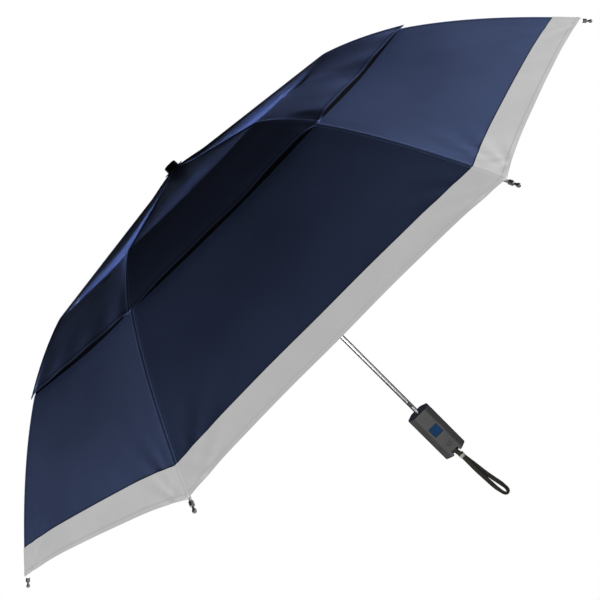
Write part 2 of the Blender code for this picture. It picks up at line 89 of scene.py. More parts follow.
CAD_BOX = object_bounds()
NODES = frame["nodes"]
JOINTS = {joint["name"]: joint for joint in frame["joints"]}

# ---------------------------------------------------------------- driving dimensions
RIBS = 8
STEP = 2 * math.pi / RIBS
FIRST_RIB = -math.pi / 2 + STEP / 2
FRONT_GORE = RIBS - 1
ELBOW = (0.2427, 0.4826)
ELBOW_SLOPE_DEG = 17.5
VENT_HEM = (0.3344, 0.4402)
VENT_HEM_SLOPE_DEG = 31.0
TIP = (0.4900, 0.2995)
TIP_SLOPE_DEG = 46.5
CROWN_EDGE = [(0.0085, 0.5137), (0.0160, 0.5130), (0.0500, 0.5063), (0.1200, 0.4977)]
RIM_AT = 0.972
BORDER_AT = 0.893
LOWER_AT = 0.03
CROWN_PAST_HINGE = 0.004
VENT_SCALLOP = 0.003
SEAM_HALF = 0.0028
SEAM_RISE = 0.0005
SEAM_STITCH = 0.0016
HEM_WIDE = 0.0048
HEM_RISE = 0.0003
HEM_STITCH = 0.0036
STITCH_LENGTH = 0.0028
SEAM_STEP = 0.0006
HEM_STEP = 0.0008
SCALLOP_FROM = 0.45
RIM_SAG = 0.55
RIM_SAG_FROM = 0.6
GAPE_FROM_HEM = 0.06
GAPE_LEAST = 0.35
GAPE_WIDE = 0.45
GAPE_WANDERS = 0.75
PUCKER_FOLDS = 15
PUCKER_SPREAD = 0.4
PUCKER_CENTRE = 0.012
PUCKER_REACH = 0.055
BROAD_WAVE = 0.0008
# a black sheet under the vent hem stands in for the shadow in the gap: painted shade
SHADE_SHEET_INSIDE_HEM = 0.0080
SHADE_SHEET_OVERLAP = 0.003
BORDER_OVERLAP = 0.004
BORDER_PROUD = 0.0005
SHADE_SHEET_BEHIND = -0.0004
DROP_OVER = 0.4
DROP = 0.0030

EYE_AT = (-0.0047, -1.0884, 0.4820)
LOOK_AT = (-0.0047, 0.0, 0.2731)
VIEW_DEG = 40.44
ROLL_DEG = 45.13

FLOOR_BELOW = 3.0
STAGE_RADIUS = 30.0
STAGE_WHITE = (1.0, 1.0, 1.0)
WORLD_FILL = 0.025
WORLD_BEHIND = 0.50
WORLD_TOP = 0.08
WORLD_COLOUR = (0.95, 0.98, 1.0)
BEHIND_COLOUR = (0.45, 0.60, 1.0)
KEY_POWER = 215.0
LEFT_POWER = 120.0
FRONT_POWER = 36.0
HANDLE_POWER = 30.0
RIGHT_CARD_POWER = 1.2
RIM_POWER = 190.0
RIM_COLOUR = (0.62, 0.74, 1.0)
NAVY_DARK = (0.036, 0.051, 0.110)
NAVY_LIGHT = (0.045, 0.064, 0.136)
NAVY_ROUGH = 0.42
NAVY_SHEEN = 0.3
NAVY_TINT = (0.30, 0.42, 1.0)
CLOTH_SPECULAR = 0.15
PLASTIC_SPECULAR = 0.3
BUTTON_SPECULAR = 0.12
SHADE_SHEET_THREAD = 0.0011
WEBBING_THREAD = 0.0007
LINE_HALF = 0.0002
LINE_SOFT = 0.0004
STITCH_HALF = 0.00018
STITCH_SOFT = 0.0003
# darkening of the seam and hem edge lines: painted shade at the fold
PALE_EDGE_SHADE = 0.25
DARK_EDGE_SHADE = 0.65
EDGE_DARKNESS = 0.25
STITCH_SHADE = 0.55
STITCH_LIGHTNESS = 1.7
BADGE_AT = (0.0, -0.0235)
BADGE_RADIUS = 0.0028
BADGE_WIRE = 0.00045
# the grey border glows by emission: painted light in place of its lit brightness
BORDER_PAINTED_GLOW = 0.44


# ---------------------------------------------------------------- materials
def new_material(name):
    material = bpy.data.materials.new(name)
    material.use_nodes = True
    return material, material.node_tree, material.node_tree.nodes["Principled BSDF"]


def node(tree, kind, **values):
    """A node of one kind, with its properties and its sockets' values set by name."""
    made = tree.nodes.new(kind)
    for key, value in values.items():
        name = key.replace("_", " ")
        if key in made.bl_rna.properties:
            setattr(made, key, value)
        else:
            made.inputs[name].default_value = value
    return made


def ramp(tree, source, low, high, stops):
    """Colours along a value: stops are (place, colour)."""
    scaled = node(tree, "ShaderNodeMapRange")
    scaled.inputs["From Min"].default_value = low
    scaled.inputs["From Max"].default_value = high
    tree.links.new(source, scaled.inputs["Value"])
    band = tree.nodes.new("ShaderNodeValToRGB")
    elements = band.color_ramp.elements
    while len(elements) < len(stops):
        elements.new(0.5)
    for element, (place, colour) in zip(elements, stops):
        element.position = place
        element.color = (*colour, 1.0) if len(colour) == 3 else colour
    tree.links.new(scaled.outputs["Result"], band.inputs["Fac"])
    return band.outputs["Color"]


def bump(tree, height, shader, strength, distance, before=None):
    """Relief from a height, laid over an earlier relief; given to the shader if there is one."""
    made = node(tree, "ShaderNodeBump", Strength=strength, Distance=distance)
    tree.links.new(height, made.inputs["Height"])
    if before is not None:
        tree.links.new(before, made.inputs["Normal"])
    if shader is not None:
        tree.links.new(made.outputs["Normal"], shader.inputs["Normal"])
    return made.outputs["Normal"]


def maths(tree, operation, a, b=None, c=None):
    """One maths step on sockets or plain numbers."""
    made = tree.nodes.new("ShaderNodeMath")
    made.operation = operation
    for socket, value in zip(made.inputs, (a, b, c)):
        if value is None:
            continue
        if isinstance(value, (int, float)):
            socket.default_value = value
        else:
            tree.links.new(value, socket)
    return made.outputs["Value"]


def slope(tree, value, start, end):
    """0 at start and 1 at end, eased, held beyond them."""
    made = node(tree, "ShaderNodeMapRange", interpolation_type="SMOOTHSTEP")
    made.inputs["From Min"].default_value = start
    made.inputs["From Max"].default_value = end
    tree.links.new(value, made.inputs["Value"])
    return made.outputs["Result"]


def vary_gloss(tree, value, shader, span, roughness):
    """The shader's roughness goes from one value to another as value crosses its span."""
    made = node(tree, "ShaderNodeMapRange")
    made.inputs["From Min"].default_value, made.inputs["From Max"].default_value = span
    made.inputs["To Min"].default_value, made.inputs["To Max"].default_value = roughness
    tree.links.new(value, made.inputs["Value"])
    tree.links.new(made.outputs["Result"], shader.inputs["Roughness"])


def stripe(tree, value, at, half, soft):
    """1 within half of a place along value, fading to 0 over soft."""
    away = maths(tree, "ABSOLUTE", maths(tree, "SUBTRACT", value, at))
    return slope(tree, away, half + soft, half)


def cloth_material(name, dark, light, roughness, sheen, tint, thread=0.00035, glow=0.0):
    """Plain-woven fabric on its own map in metres: x across from the rib's seam, y up from the free hem.

    The seam along each rib and the hem have an edge line, darkened in colour as painted shade at the fold,
    and a row of stitches.
    """
    material, tree, shader = new_material(name)
    place = node(tree, "ShaderNodeUVMap", uv_map="cloth")
    split = tree.nodes.new("ShaderNodeSeparateXYZ")
    tree.links.new(place.outputs["UV"], split.inputs["Vector"])
    x, y = split.outputs["X"], split.outputs["Y"]
    wave = math.pi / thread
    weave = maths(tree, "MULTIPLY", maths(tree, "SINE", maths(tree, "MULTIPLY", x, wave)),
                  maths(tree, "SINE", maths(tree, "MULTIPLY", y, wave)))
    coords = tree.nodes.new("ShaderNodeTexCoord")
    blotch = node(tree, "ShaderNodeTexNoise", Scale=11.0, Detail=4.0, Roughness=0.6)
    tree.links.new(coords.outputs["Object"], blotch.inputs["Vector"])
    slub = node(tree, "ShaderNodeTexNoise", Scale=900.0, Detail=2.0, Roughness=0.6)
    tree.links.new(coords.outputs["Object"], slub.inputs["Vector"])
    shade = maths(tree, "MULTIPLY_ADD", slub.outputs["Fac"], 0.35, blotch.outputs["Fac"])
    aside = maths(tree, "ABSOLUTE", x)
    edges = maths(tree, "MAXIMUM", stripe(tree, aside, SEAM_HALF, LINE_HALF, LINE_SOFT),
                  stripe(tree, y, HEM_WIDE, LINE_HALF, LINE_SOFT))
    seam_stripe = stripe(tree, aside, SEAM_STITCH, STITCH_HALF, STITCH_SOFT)
    hem_stripe = stripe(tree, y, HEM_STITCH, STITCH_HALF, STITCH_SOFT)
    seam_row = maths(tree, "MULTIPLY", seam_stripe, dashes(tree, y))
    hem_row = maths(tree, "MULTIPLY", hem_stripe, dashes(tree, x))
    rows = maths(tree, "MAXIMUM", seam_row, hem_row)
    plain = ramp(tree, shade, 0.45, 0.9, [(0.0, dark), (1.0, light)])
    # painted shade: the seam and hem edge lines are darkened in colour as the shadow at the fold
    shaded = maths(tree, "MULTIPLY", edges, PALE_EDGE_SHADE if glow else DARK_EDGE_SHADE)
    lined = mix(tree, shaded, plain, tuple(EDGE_DARKNESS * v for v in dark))
    thread_shade = maths(tree, "MULTIPLY", rows, STITCH_SHADE)
    sewn = mix(tree, thread_shade, lined, tuple(STITCH_LIGHTNESS * v for v in light))
    tree.links.new(sewn, shader.inputs["Base Color"])
    # painted light: the cloth gives off light of its own, dimmer along the edge lines, in place of
    # brightness from the lamps
    if glow:
        shown = ramp(tree, shade, 0.3, 1.0, [(0.0, (0.86, 0.86, 0.86)), (1.0, (1.0, 1.0, 1.0))])
        shown = mix(tree, maths(tree, "MULTIPLY", edges, 0.16), shown, (0.55, 0.55, 0.55))
        tree.links.new(shown, shader.inputs["Emission Color"])
        shader.inputs["Emission Strength"].default_value = glow
    vary_gloss(tree, slub.outputs["Fac"], shader, (0.3, 0.7), (roughness - 0.05, roughness + 0.05))
    shader.inputs["Specular IOR Level"].default_value = CLOTH_SPECULAR
    shader.inputs["Sheen Weight"].default_value = sheen
    shader.inputs["Sheen Roughness"].default_value = 0.2
    shader.inputs["Sheen Tint"].default_value = (*tint, 1.0)
    first = bump(tree, weave, None, 0.35, 0.00005)
    second = bump(tree, slub.outputs["Fac"], None, 0.25, 0.0002, first)
    bump(tree, maths(tree, "SUBTRACT", rows, edges), shader, 0.6, 0.0003, second)
    return material


def dashes(tree, value):
    """A row of stitches along value: 1 on a stitch and 0 in the gap after it."""
    share = maths(tree, "FRACT", maths(tree, "DIVIDE", value, STITCH_LENGTH))
    return slope(tree, maths(tree, "ABSOLUTE", maths(tree, "SUBTRACT", share, 0.5)), 0.40, 0.30)


def mix(tree, share, first, second):
    """first where share is 0 and the colour second where it is 1."""
    made = tree.nodes.new("ShaderNodeMix")
    made.data_type = "RGBA"
    tree.links.new(share, made.inputs[0])
    tree.links.new(first, made.inputs[6])
    made.inputs[7].default_value = (*second, 1.0)
    return made.outputs[2]


def plastic_material(name, dark, light, roughness, grain=0.35, scale=1400.0):
    """Moulded plastic with a fine sparked grain and slight variation of gloss."""
    material, tree, shader = new_material(name)
    coords = tree.nodes.new("ShaderNodeTexCoord")
    cloud = node(tree, "ShaderNodeTexNoise", Scale=45.0, Detail=4.0, Roughness=0.55)
    tree.links.new(coords.outputs["Object"], cloud.inputs["Vector"])
    clouded = ramp(tree, cloud.outputs["Fac"], 0.3, 0.7, [(0.0, dark), (1.0, light)])
    tree.links.new(clouded, shader.inputs["Base Color"])
    pits = node(tree, "ShaderNodeTexVoronoi", Scale=scale)
    tree.links.new(coords.outputs["Object"], pits.inputs["Vector"])
    vary_gloss(tree, cloud.outputs["Fac"], shader, (0.3, 0.7), (roughness - 0.06, roughness + 0.06))
    bump(tree, pits.outputs["Distance"], shader, grain, 0.00012)
    shader.inputs["Specular IOR Level"].default_value = PLASTIC_SPECULAR
    return material


def metal_material(name, colour, worn, roughness, streak=(40.0, 40.0, 3.0), grain=0.12):
    """Plated metal: faint drawn streaks along the piece, smudges in its gloss."""
    material, tree, shader = new_material(name)
    shader.inputs["Metallic"].default_value = 1.0
    coords = tree.nodes.new("ShaderNodeTexCoord")
    stretch = node(tree, "ShaderNodeMapping")
    stretch.inputs["Scale"].default_value = streak
    tree.links.new(coords.outputs["Object"], stretch.inputs["Vector"])
    lines = node(tree, "ShaderNodeTexNoise", Scale=12.0, Detail=5.0, Roughness=0.6)
    tree.links.new(stretch.outputs["Vector"], lines.inputs["Vector"])
    drawn = ramp(tree, lines.outputs["Fac"], 0.3, 0.75, [(0.0, worn), (1.0, colour)])
    tree.links.new(drawn, shader.inputs["Base Color"])
    vary_gloss(tree, lines.outputs["Fac"], shader, (0.35, 0.7), (roughness, roughness + 0.12))
    bump(tree, lines.outputs["Fac"], shader, grain, 0.00005)
    return material


NAVY = cloth_material("navy_polyester", NAVY_DARK, NAVY_LIGHT, NAVY_ROUGH, NAVY_SHEEN, NAVY_TINT)
# the grey border glows with painted light
GREY = cloth_material("grey_reflective", (0.075, 0.075, 0.075), (0.10, 0.10, 0.10), 0.5, 0.1,
                      (1.0, 1.0, 1.0), glow=BORDER_PAINTED_GLOW)
# black sheet under the vent hem: painted shade in the gap between the two canopies
SHADE_SHEET = cloth_material("black_netting", (0.002, 0.002, 0.003), (0.005, 0.005, 0.006), 0.8, 0.0,
                     (1.0, 1.0, 1.0), thread=SHADE_SHEET_THREAD)
WEBBING = cloth_material("black_webbing", (0.012, 0.011, 0.009), (0.030, 0.028, 0.024), 0.7, 0.3,
                         (0.8, 0.8, 0.75), thread=WEBBING_THREAD)
BLACK = plastic_material("black_nylon", (0.018, 0.018, 0.018), (0.032, 0.032, 0.032), 0.42, 0.15)
CHARCOAL = plastic_material("charcoal_grip", (0.048, 0.048, 0.049), (0.062, 0.062, 0.064), 0.5, 0.15)
BLUE = plastic_material("blue_button", (0.000, 0.022, 0.070), (0.000, 0.030, 0.092), 0.5, 0.1)
BLUE.node_tree.nodes["Principled BSDF"].inputs["Specular IOR Level"].default_value = BUTTON_SPECULAR
STEEL = metal_material("rib_steel_plated", (0.62, 0.62, 0.63), (0.46, 0.46, 0.47), 0.30, grain=0.02)
CHROME = metal_material("bright_chrome", (0.50, 0.50, 0.51), (0.44, 0.44, 0.45), 0.24, grain=0.0)
TIP_METAL = metal_material("tip_nickel", (0.14, 0.14, 0.14), (0.11, 0.11, 0.11), 0.5, grain=0.0)
NICKEL = metal_material("crimp_nickel", (0.80, 0.77, 0.68), (0.62, 0.58, 0.48), 0.25)
STYLE = {"rib_steel": STEEL, "chrome": CHROME, "black_plastic": BLACK, "handle_plastic": CHARCOAL,
         "button_plastic": BLUE, "crimp_metal": NICKEL, "navy_fabric": NAVY, "grey_fabric": GREY,
         "strap_webbing": WEBBING}
for entry in frame["record"]["subparts"]:
    obj = NODES[entry["node"]]
    obj.data.materials.clear()
    tip = entry["node"].startswith("rib_tip")
    obj.data.materials.append(TIP_METAL if tip else STYLE[entry["material_slot"]])


# ---------------------------------------------------------------- rib lines
def crossing(start, start_deg, end, end_deg):
    """Where a line falling at start_deg from start meets one rising at end_deg from end."""
    a = np.array((math.cos(math.radians(start_deg)), -math.sin(math.radians(start_deg))))
    b = np.array((-math.cos(math.radians(end_deg)), math.sin(math.radians(end_deg))))
    gap = np.subtract(end, start)
    along = (gap[0] * b[1] - gap[1] * b[0]) / (a[0] * b[1] - a[1] * b[0])
    return np.array(start) + a * along


def bezier(a, b, c, t):
    t = np.asarray(t)[:, None]
    return np.array(a) * (1 - t) ** 2 + np.array(b) * 2 * t * (1 - t) + np.array(c) * t**2


def along_line(points):
    return np.concatenate([[0.0], np.cumsum(np.linalg.norm(np.diff(points, axis=0), axis=1))])


class Line:
    """A rib-plane curve by arc length, with its corners rounded over a few millimetres."""

    def __init__(self, points, soften=0.0, samples=1200):
        places = along_line(points)
        self.length = places[-1]
        self.grid = np.linspace(0.0, self.length, samples)
        even = np.stack([np.interp(self.grid, places, points[:, k]) for k in (0, 1)], axis=1)
        if soften:
            half = int(3 * soften / self.length * samples)
            kernel = np.exp(-0.5 * (np.arange(-half, half + 1) / half * 3) ** 2)
            kernel /= kernel.sum()
            before = 2 * even[0] - even[half:0:-1]
            after = 2 * even[-1] - even[-2:-half - 2:-1]
            padded = np.concatenate([before, even, after])
            even = np.stack([np.convolve(padded[:, k], kernel, "valid") for k in (0, 1)], axis=1)
        self.points = even

    def at(self, a):
        return np.interp(a, self.grid, self.points[:, 0]), np.interp(a, self.grid, self.points[:, 1])

    def where(self, r):
        """Arc length at which the line is r from the axis."""
        return float(np.interp(r, self.points[:, 0], self.grid))


RIB_CONTROL = crossing(ELBOW, ELBOW_SLOPE_DEG, TIP, TIP_SLOPE_DEG)
VENT_CONTROL = crossing(ELBOW, ELBOW_SLOPE_DEG, VENT_HEM, VENT_HEM_SLOPE_DEG)
LOWER_T = np.linspace(LOWER_AT, RIM_AT, 300)
top_points = np.concatenate([CROWN_EDGE, bezier(ELBOW, VENT_CONTROL, VENT_HEM, np.linspace(0, 1, 80))])
TOP_LINE = Line(top_points, soften=0.0028)
lower_points = bezier(ELBOW, RIB_CONTROL, TIP, LOWER_T)
lower_points[:, 1] -= DROP * np.clip(1 - LOWER_T / DROP_OVER, 0, 1)
LOWER_LINE = Line(lower_points)
BORDER_FROM = LOWER_LINE.where(float(bezier(ELBOW, RIB_CONTROL, TIP, [BORDER_AT])[0][0]))


# ---------------------------------------------------------------- canopy surfaces
def ease(x):
    x = np.clip(x, 0.0, 1.0)
    return x * x * (3 - 2 * x)


def bow(s):
    """0 on a rib, 1 in the middle of a gore, level there."""
    return 2 * s - s * s


class Surface:
    """A gore's cloth. a runs down the rib in metres and s from a rib (0) to the gore's middle (1)."""

    def __init__(self, line, sag, scallop, lift, ripple, puckers, seed):
        self.line, self.sag, self.scallop, self.lift = line, sag, scallop, lift
        self.ripple, self.puckers, self.seed = ripple, puckers, seed

    def local(self, a, s, side, gore):
        """Points in the rib's own frame (r, across, z), for the side +1 or -1, in gore number gore."""
        length = self.line.length
        drawn_up = ease((a / length - SCALLOP_FROM) / (1 - SCALLOP_FROM))
        rise = drawn_up * self.scallop * (1 - (1 - s) ** 3)
        r, z = self.line.at(a - rise)
        r2, z2 = self.line.at(a - rise + 0.001)
        middle = math.cos(STEP / 2)
        dr, dz = (r2 - r) * middle, z2 - z
        size = np.hypot(dr, dz) + 1e-12
        out, up = -dz / size, dr / size
        share = a / length
        off = -self.sag * np.sin(math.pi * np.clip(share, 0, 1) ** 0.8) ** 0.9 * bow(s)
        off = off - RIM_SAG * self.sag * ease((share - RIM_SAG_FROM) / (1 - RIM_SAG_FROM)) * bow(s)
        near_hem = ease((a - length + GAPE_FROM_HEM) / GAPE_FROM_HEM)
        phase = self.seed + 2.4 * gore
        mirrored = s if side > 0 else 2 - s
        wave = np.sin(5.3 * mirrored + phase) + 0.6 * np.sin(11.0 * mirrored + 1.7 * phase)
        edge = ease(s * 6)
        open_at = 1.0 + GAPE_WANDERS * math.cos(2.3 * (gore - FRONT_GORE))
        gape = GAPE_LEAST + (1 - GAPE_LEAST) * np.exp(-(((mirrored - open_at) / GAPE_WIDE) ** 2))
        off = off + near_hem * edge * (self.lift * gape + self.ripple * wave)
        beside = s * r * PUCKER_SPREAD
        fan = np.sin(PUCKER_FOLDS * np.arctan2(beside, length - a + PUCKER_CENTRE) + phase)
        reach = np.exp(-((length - a) ** 2 + beside**2) / PUCKER_REACH**2)
        off = off + self.puckers * fan * reach * edge
        broad = np.sin(9 * share + 2.2 * phase) * np.sin(math.pi * mirrored + 0.8 * phase)
        off = off + BROAD_WAVE * broad * edge
        across_m = s * r * math.sin(STEP / 2)
        seam = np.clip((SEAM_HALF - across_m) / SEAM_STEP, 0, 1)
        off = off + SEAM_RISE * seam * np.clip(r / 0.03, 0, 1)
        off = off + HEM_RISE * np.clip((a - length + HEM_WIDE) / HEM_STEP, 0, 1)
        half = s / 2
        x = r * (1 - half * (1 - math.cos(STEP)))
        y = r * half * math.sin(STEP)
        x = x + off * out * math.cos(STEP / 2)
        y = y + off * out * math.sin(STEP / 2)
        return np.stack([x, side * y, z + off * up], axis=-1)


TOP = Surface(TOP_LINE, sag=0.003, scallop=VENT_SCALLOP, lift=0.0036, ripple=0.0007, puckers=0.0, seed=0.4)
LOWER = Surface(LOWER_LINE, sag=0.006, scallop=0.007, lift=0.0, ripple=0.0005, puckers=0.0010, seed=1.9)


def columns(line_r, count):
    """Shares s across half a gore for each distance r: the first few keep the seam's width."""
    half = line_r * math.sin(STEP / 2)
    fixed = np.array([0.0, 0.0014, SEAM_HALF - SEAM_STEP, SEAM_HALF, 0.0045])
    result = np.empty((len(line_r), count + len(fixed)))
    for k, wide in enumerate(half):
        first = fixed * min(1.0, 0.25 * wide / fixed[-1]) / wide
        rest = first[-1] + (1 - first[-1]) * np.linspace(0, 1, count + 1)[1:]
        result[k] = np.concatenate([first, rest])
    return result


def patch(name, surface, rib, low, high, rows, count, proud=0.0, edges=(), dip=(0.0, 0.0)):
    """Cloth on both sides of one rib, from arc length low to high, as a mesh in the umbrella's frame.

    dip draws each end back up the slope by that much in the middle of the gore.
    """
    a = np.linspace(low, high, rows + 1)
    if edges:
        a = np.unique(np.concatenate([a, [e for e in edges if low < e < high]]))
    r = surface.line.at(a)[0]
    s = columns(r, count)
    share = ((a - low) / (high - low))[:, None]
    grid_a = a[:, None] - (dip[0] * (1 - share) + dip[1] * share) * (1 - (1 - s) ** 3)
    sides = []
    for side in (-1, 1):
        gore = rib if side > 0 else (rib - 1) % RIBS
        sides.append((surface.local(grid_a, s, side, gore), side * s * (r * math.sin(STEP / 2))[:, None]))
    points = np.concatenate([sides[0][0][:, :0:-1], sides[1][0]], axis=1)
    across = np.concatenate([sides[0][1][:, :0:-1], sides[1][1]], axis=1)
    up_from_hem = surface.line.length - np.concatenate([grid_a[:, :0:-1], grid_a], axis=1)
    normals = surface_normals(surface, grid_a, s, rib)
    if proud:
        points = points + normals * proud
    turn = FIRST_RIB + STEP * rib
    spin = np.array([[math.cos(turn), -math.sin(turn), 0], [math.sin(turn), math.cos(turn), 0], [0, 0, 1]])
    rows_n, cols_n = points.shape[:2]
    flat = points.reshape(-1, 3) @ spin.T
    index = np.arange(rows_n * cols_n).reshape(rows_n, cols_n)
    corners = [index[:-1, :-1], index[1:, :-1], index[1:, 1:], index[:-1, 1:]]
    quads = np.stack(corners, axis=-1).reshape(-1, 4)
    mesh = bpy.data.meshes.new(name)
    mesh.from_pydata(flat.tolist(), [], quads.tolist())
    mesh.polygons.foreach_set("use_smooth", [True] * len(mesh.polygons))
    layer = mesh.uv_layers.new(name="cloth")
    where = np.stack([across.ravel(), up_from_hem.ravel()], axis=1)
    loops = np.empty(len(mesh.loops), np.int32)
    mesh.loops.foreach_get("vertex_index", loops)
    layer.data.foreach_set("uv", where[loops].astype(np.float32).ravel())
    mesh.normals_split_custom_set_from_vertices((normals.reshape(-1, 3) @ spin.T).tolist())
    obj = bpy.data.objects.new(name, mesh)
    bpy.context.scene.collection.objects.link(obj)
    return obj


def surface_normals(surface, grid_a, s, rib):
    """Unit normals from the surface itself, so that neighbouring patches meet without a line."""
    step = 0.0004
    found = []
    for side in (-1, 1):
        gore = rib if side > 0 else (rib - 1) % RIBS
        down = surface.local(grid_a + step, s, side, gore) - surface.local(grid_a - step, s, side, gore)
        low, high = np.clip(s - 0.004, 0, 1), np.clip(s + 0.004, 0, 1)
        over = surface.local(grid_a, high, side, gore) - surface.local(grid_a, low, side, gore)
        over[:, -1] = (-math.sin(STEP / 2), side * math.cos(STEP / 2), 0)
        normal = np.cross(down, over) * side
        normal /= np.linalg.norm(normal, axis=-1, keepdims=True) + 1e-12
        found.append(normal)
    on_rib = found[0][:, 0] + found[1][:, 0]
    on_rib /= np.linalg.norm(on_rib, axis=-1, keepdims=True)
    found[0][:, 0] = on_rib
    found[1][:, 0] = on_rib
    return np.concatenate([found[0][:, :0:-1], found[1]], axis=1)


def flat_of(obj):
    """(width, length, area) of the cloth, as cut."""
    area = sum(face.area for face in obj.data.polygons)
    layer = np.empty(len(obj.data.loops) * 2, np.float32)
    obj.data.uv_layers["cloth"].data.foreach_get("uv", layer)
    size = np.ptp(layer.reshape(-1, 2), axis=0)
    return float(size[0]), float(size[1]), float(area)


def hang(obj, body, material, replaced):
    """The cloth rides on its rib section, in place of the CAD node it replaces; its size as cut is measured
    but not used.
    """
    obj.data.materials.append(material)
    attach(obj, body)
    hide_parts(replaced)
    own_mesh(obj)
    width, length, area = flat_of(obj)
    length = max(length, 1.02 * area / width)
    return obj


def crown_cloth():
    """The cloth's centre, held by the washer: it stays level while the ribs fold away beneath it."""
    shaper = bmesh.new()
    for rib in range(RIBS):
        piece = patch(f"crown_{rib}", TOP, rib, 0.0, CROWN_A, 6, 6)
        shaper.from_mesh(piece.data)
        bpy.data.objects.remove(piece)
    bmesh.ops.remove_doubles(shaper, verts=shaper.verts, dist=2e-6)
    mesh = bpy.data.meshes.new("crown_cloth")
    shaper.to_mesh(mesh)
    shaper.free()
    mesh.polygons.foreach_set("use_smooth", [True] * len(mesh.polygons))
    mesh.materials.append(NAVY)
    obj = bpy.data.objects.new("crown_cloth", mesh)
    bpy.context.scene.collection.objects.link(obj)
    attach(obj, "upper_shaft")
    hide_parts("top_canopy")


MIDDLE_R = math.hypot(*JOINTS["middle_rib_1_hinge"]["pos_m"][:2])
ELBOW_R = math.hypot(*JOINTS["outer_rib_1_hinge"]["pos_m"][:2])
MIDDLE_A = TOP_LINE.where(MIDDLE_R)
CROWN_A = TOP_LINE.where(math.hypot(*JOINTS["top_rib_1_hinge"]["pos_m"][:2]) + CROWN_PAST_HINGE)
ELBOW_A = TOP_LINE.where(ELBOW_R)
crown_cloth()
SHADE_SHEET_END = LOWER_LINE.where(VENT_HEM[0]) - SHADE_SHEET_INSIDE_HEM
for rib in range(RIBS):
    n = rib + 1
    on_outer = f"outer_rib_{n}"
    end = TOP_LINE.length
    hem = (end - HEM_WIDE, end - HEM_WIDE + HEM_STEP)
    inner = patch(f"top_cloth_inner_{n}", TOP, rib, CROWN_A, MIDDLE_A, 26, 14)
    hang(inner, f"top_rib_{n}", NAVY, "top_canopy")
    middle = patch(f"top_cloth_middle_{n}", TOP, rib, MIDDLE_A, ELBOW_A, 26, 14)
    hang(middle, f"middle_rib_{n}", NAVY, "top_canopy")
    outer = patch(f"top_cloth_outer_{n}", TOP, rib, ELBOW_A, end, 30, 14, edges=hem)
    hang(outer, on_outer, NAVY, "top_canopy")
    end = LOWER_LINE.length
    hem = (end - HEM_WIDE, end - HEM_WIDE + HEM_STEP)
    # painted shade: a black sheet under the top canopy's hem, in place of the shadow in the gap
    shade_sheet = patch(f"vent_net_{n}", LOWER, rib, 0.0, SHADE_SHEET_END + SHADE_SHEET_OVERLAP, 24, 14, proud=SHADE_SHEET_BEHIND,
                dip=(0.0, VENT_SCALLOP))
    hang(shade_sheet, on_outer, SHADE_SHEET, "lower_canopy")
    main = patch(f"lower_cloth_{n}", LOWER, rib, SHADE_SHEET_END, BORDER_FROM + BORDER_OVERLAP, 50, 20,
                 dip=(VENT_SCALLOP, 0.0))
    hang(main, on_outer, NAVY, "lower_canopy")
    band = patch(f"border_{n}", LOWER, rib, BORDER_FROM, end, 14, 20, proud=BORDER_PROUD, edges=hem)
    hang(band, on_outer, GREY, "canopy_border")


# ---------------------------------------------------------------- handle
def softened(name, width, body):
    """A moulded copy of a CAD node with its sharp edges rounded, shown in its place."""
    source = NODES[name]
    shaper = bmesh.new()
    shaper.from_mesh(source.data)
    bmesh.ops.remove_doubles(shaper, verts=shaper.verts, dist=1e-6)
    bmesh.ops.dissolve_limit(shaper, angle_limit=math.radians(1.5), verts=shaper.verts, edges=shaper.edges)
    sharp = [e for e in shaper.edges if len(e.link_faces) == 2 and e.calc_face_angle(0.0) > math.radians(28)]
    bmesh.ops.bevel(shaper, geom=sharp, offset=width, segments=3, profile=0.5, affect="EDGES",
                    clamp_overlap=True)
    mesh = bpy.data.meshes.new(f"{name}_moulded")
    shaper.to_mesh(mesh)
    shaper.free()
    mesh.materials.append(source.data.materials[0])
    mesh.polygons.foreach_set("use_smooth", [True] * len(mesh.polygons))
    total = np.zeros((len(mesh.vertices), 3))
    for face in mesh.polygons:
        for corner in face.vertices:
            total[corner] += np.array(face.normal) * face.area
    total /= np.linalg.norm(total, axis=1, keepdims=True) + 1e-18
    mesh.normals_split_custom_set_from_vertices(total.tolist())
    obj = bpy.data.objects.new(f"{name}_moulded", mesh)
    bpy.context.scene.collection.objects.link(obj)
    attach(obj, body)
    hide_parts(name)
    return obj


def closing_coil(name, body):
    """A copy of a CAD spring, shown in its place and riding on a body."""
    obj = bpy.data.objects.new(f"{name}_coil", NODES[name].data.copy())
    bpy.context.scene.collection.objects.link(obj)
    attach(obj, body)
    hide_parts(name)
    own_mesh(obj)


def build_badge():
    """The plain raised ring low on the handle's front panel."""
    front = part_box("handle_front")[0][1]
    ring = bmesh.new()
    turns, sides = 40, 10
    rows = []
    for i in range(turns):
        around = 2 * math.pi * i / turns
        row = []
        for j in range(sides):
            about = 2 * math.pi * j / sides
            reach = BADGE_RADIUS + BADGE_WIRE * math.cos(about)
            x = BADGE_AT[0] + reach * math.cos(around)
            y = front - BADGE_WIRE * 0.5 * math.sin(about)
            z = BADGE_AT[1] + reach * math.sin(around)
            row.append(ring.verts.new((x, y, z)))
        rows.append(row)
    for i in range(turns):
        for j in range(sides):
            a, b = rows[i], rows[(i + 1) % turns]
            ring.faces.new((a[j], b[j], b[(j + 1) % sides], a[(j + 1) % sides]))
    bmesh.ops.recalc_face_normals(ring, faces=ring.faces)
    mesh = bpy.data.meshes.new("badge_ring")
    ring.to_mesh(mesh)
    ring.free()
    mesh.polygons.foreach_set("use_smooth", [True] * len(mesh.polygons))
    mesh.materials.append(BLACK)
    obj = bpy.data.objects.new("badge_ring", mesh)
    bpy.context.scene.collection.objects.link(obj)
    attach(obj, "handle")


for name in ("handle_front", "handle_back"):
    softened(name, 0.0007, "handle")
softened("button", 0.0004, "button")
closing_coil("opening_spring", "upper_shaft")
closing_coil("button_spring", "button")
build_badge()

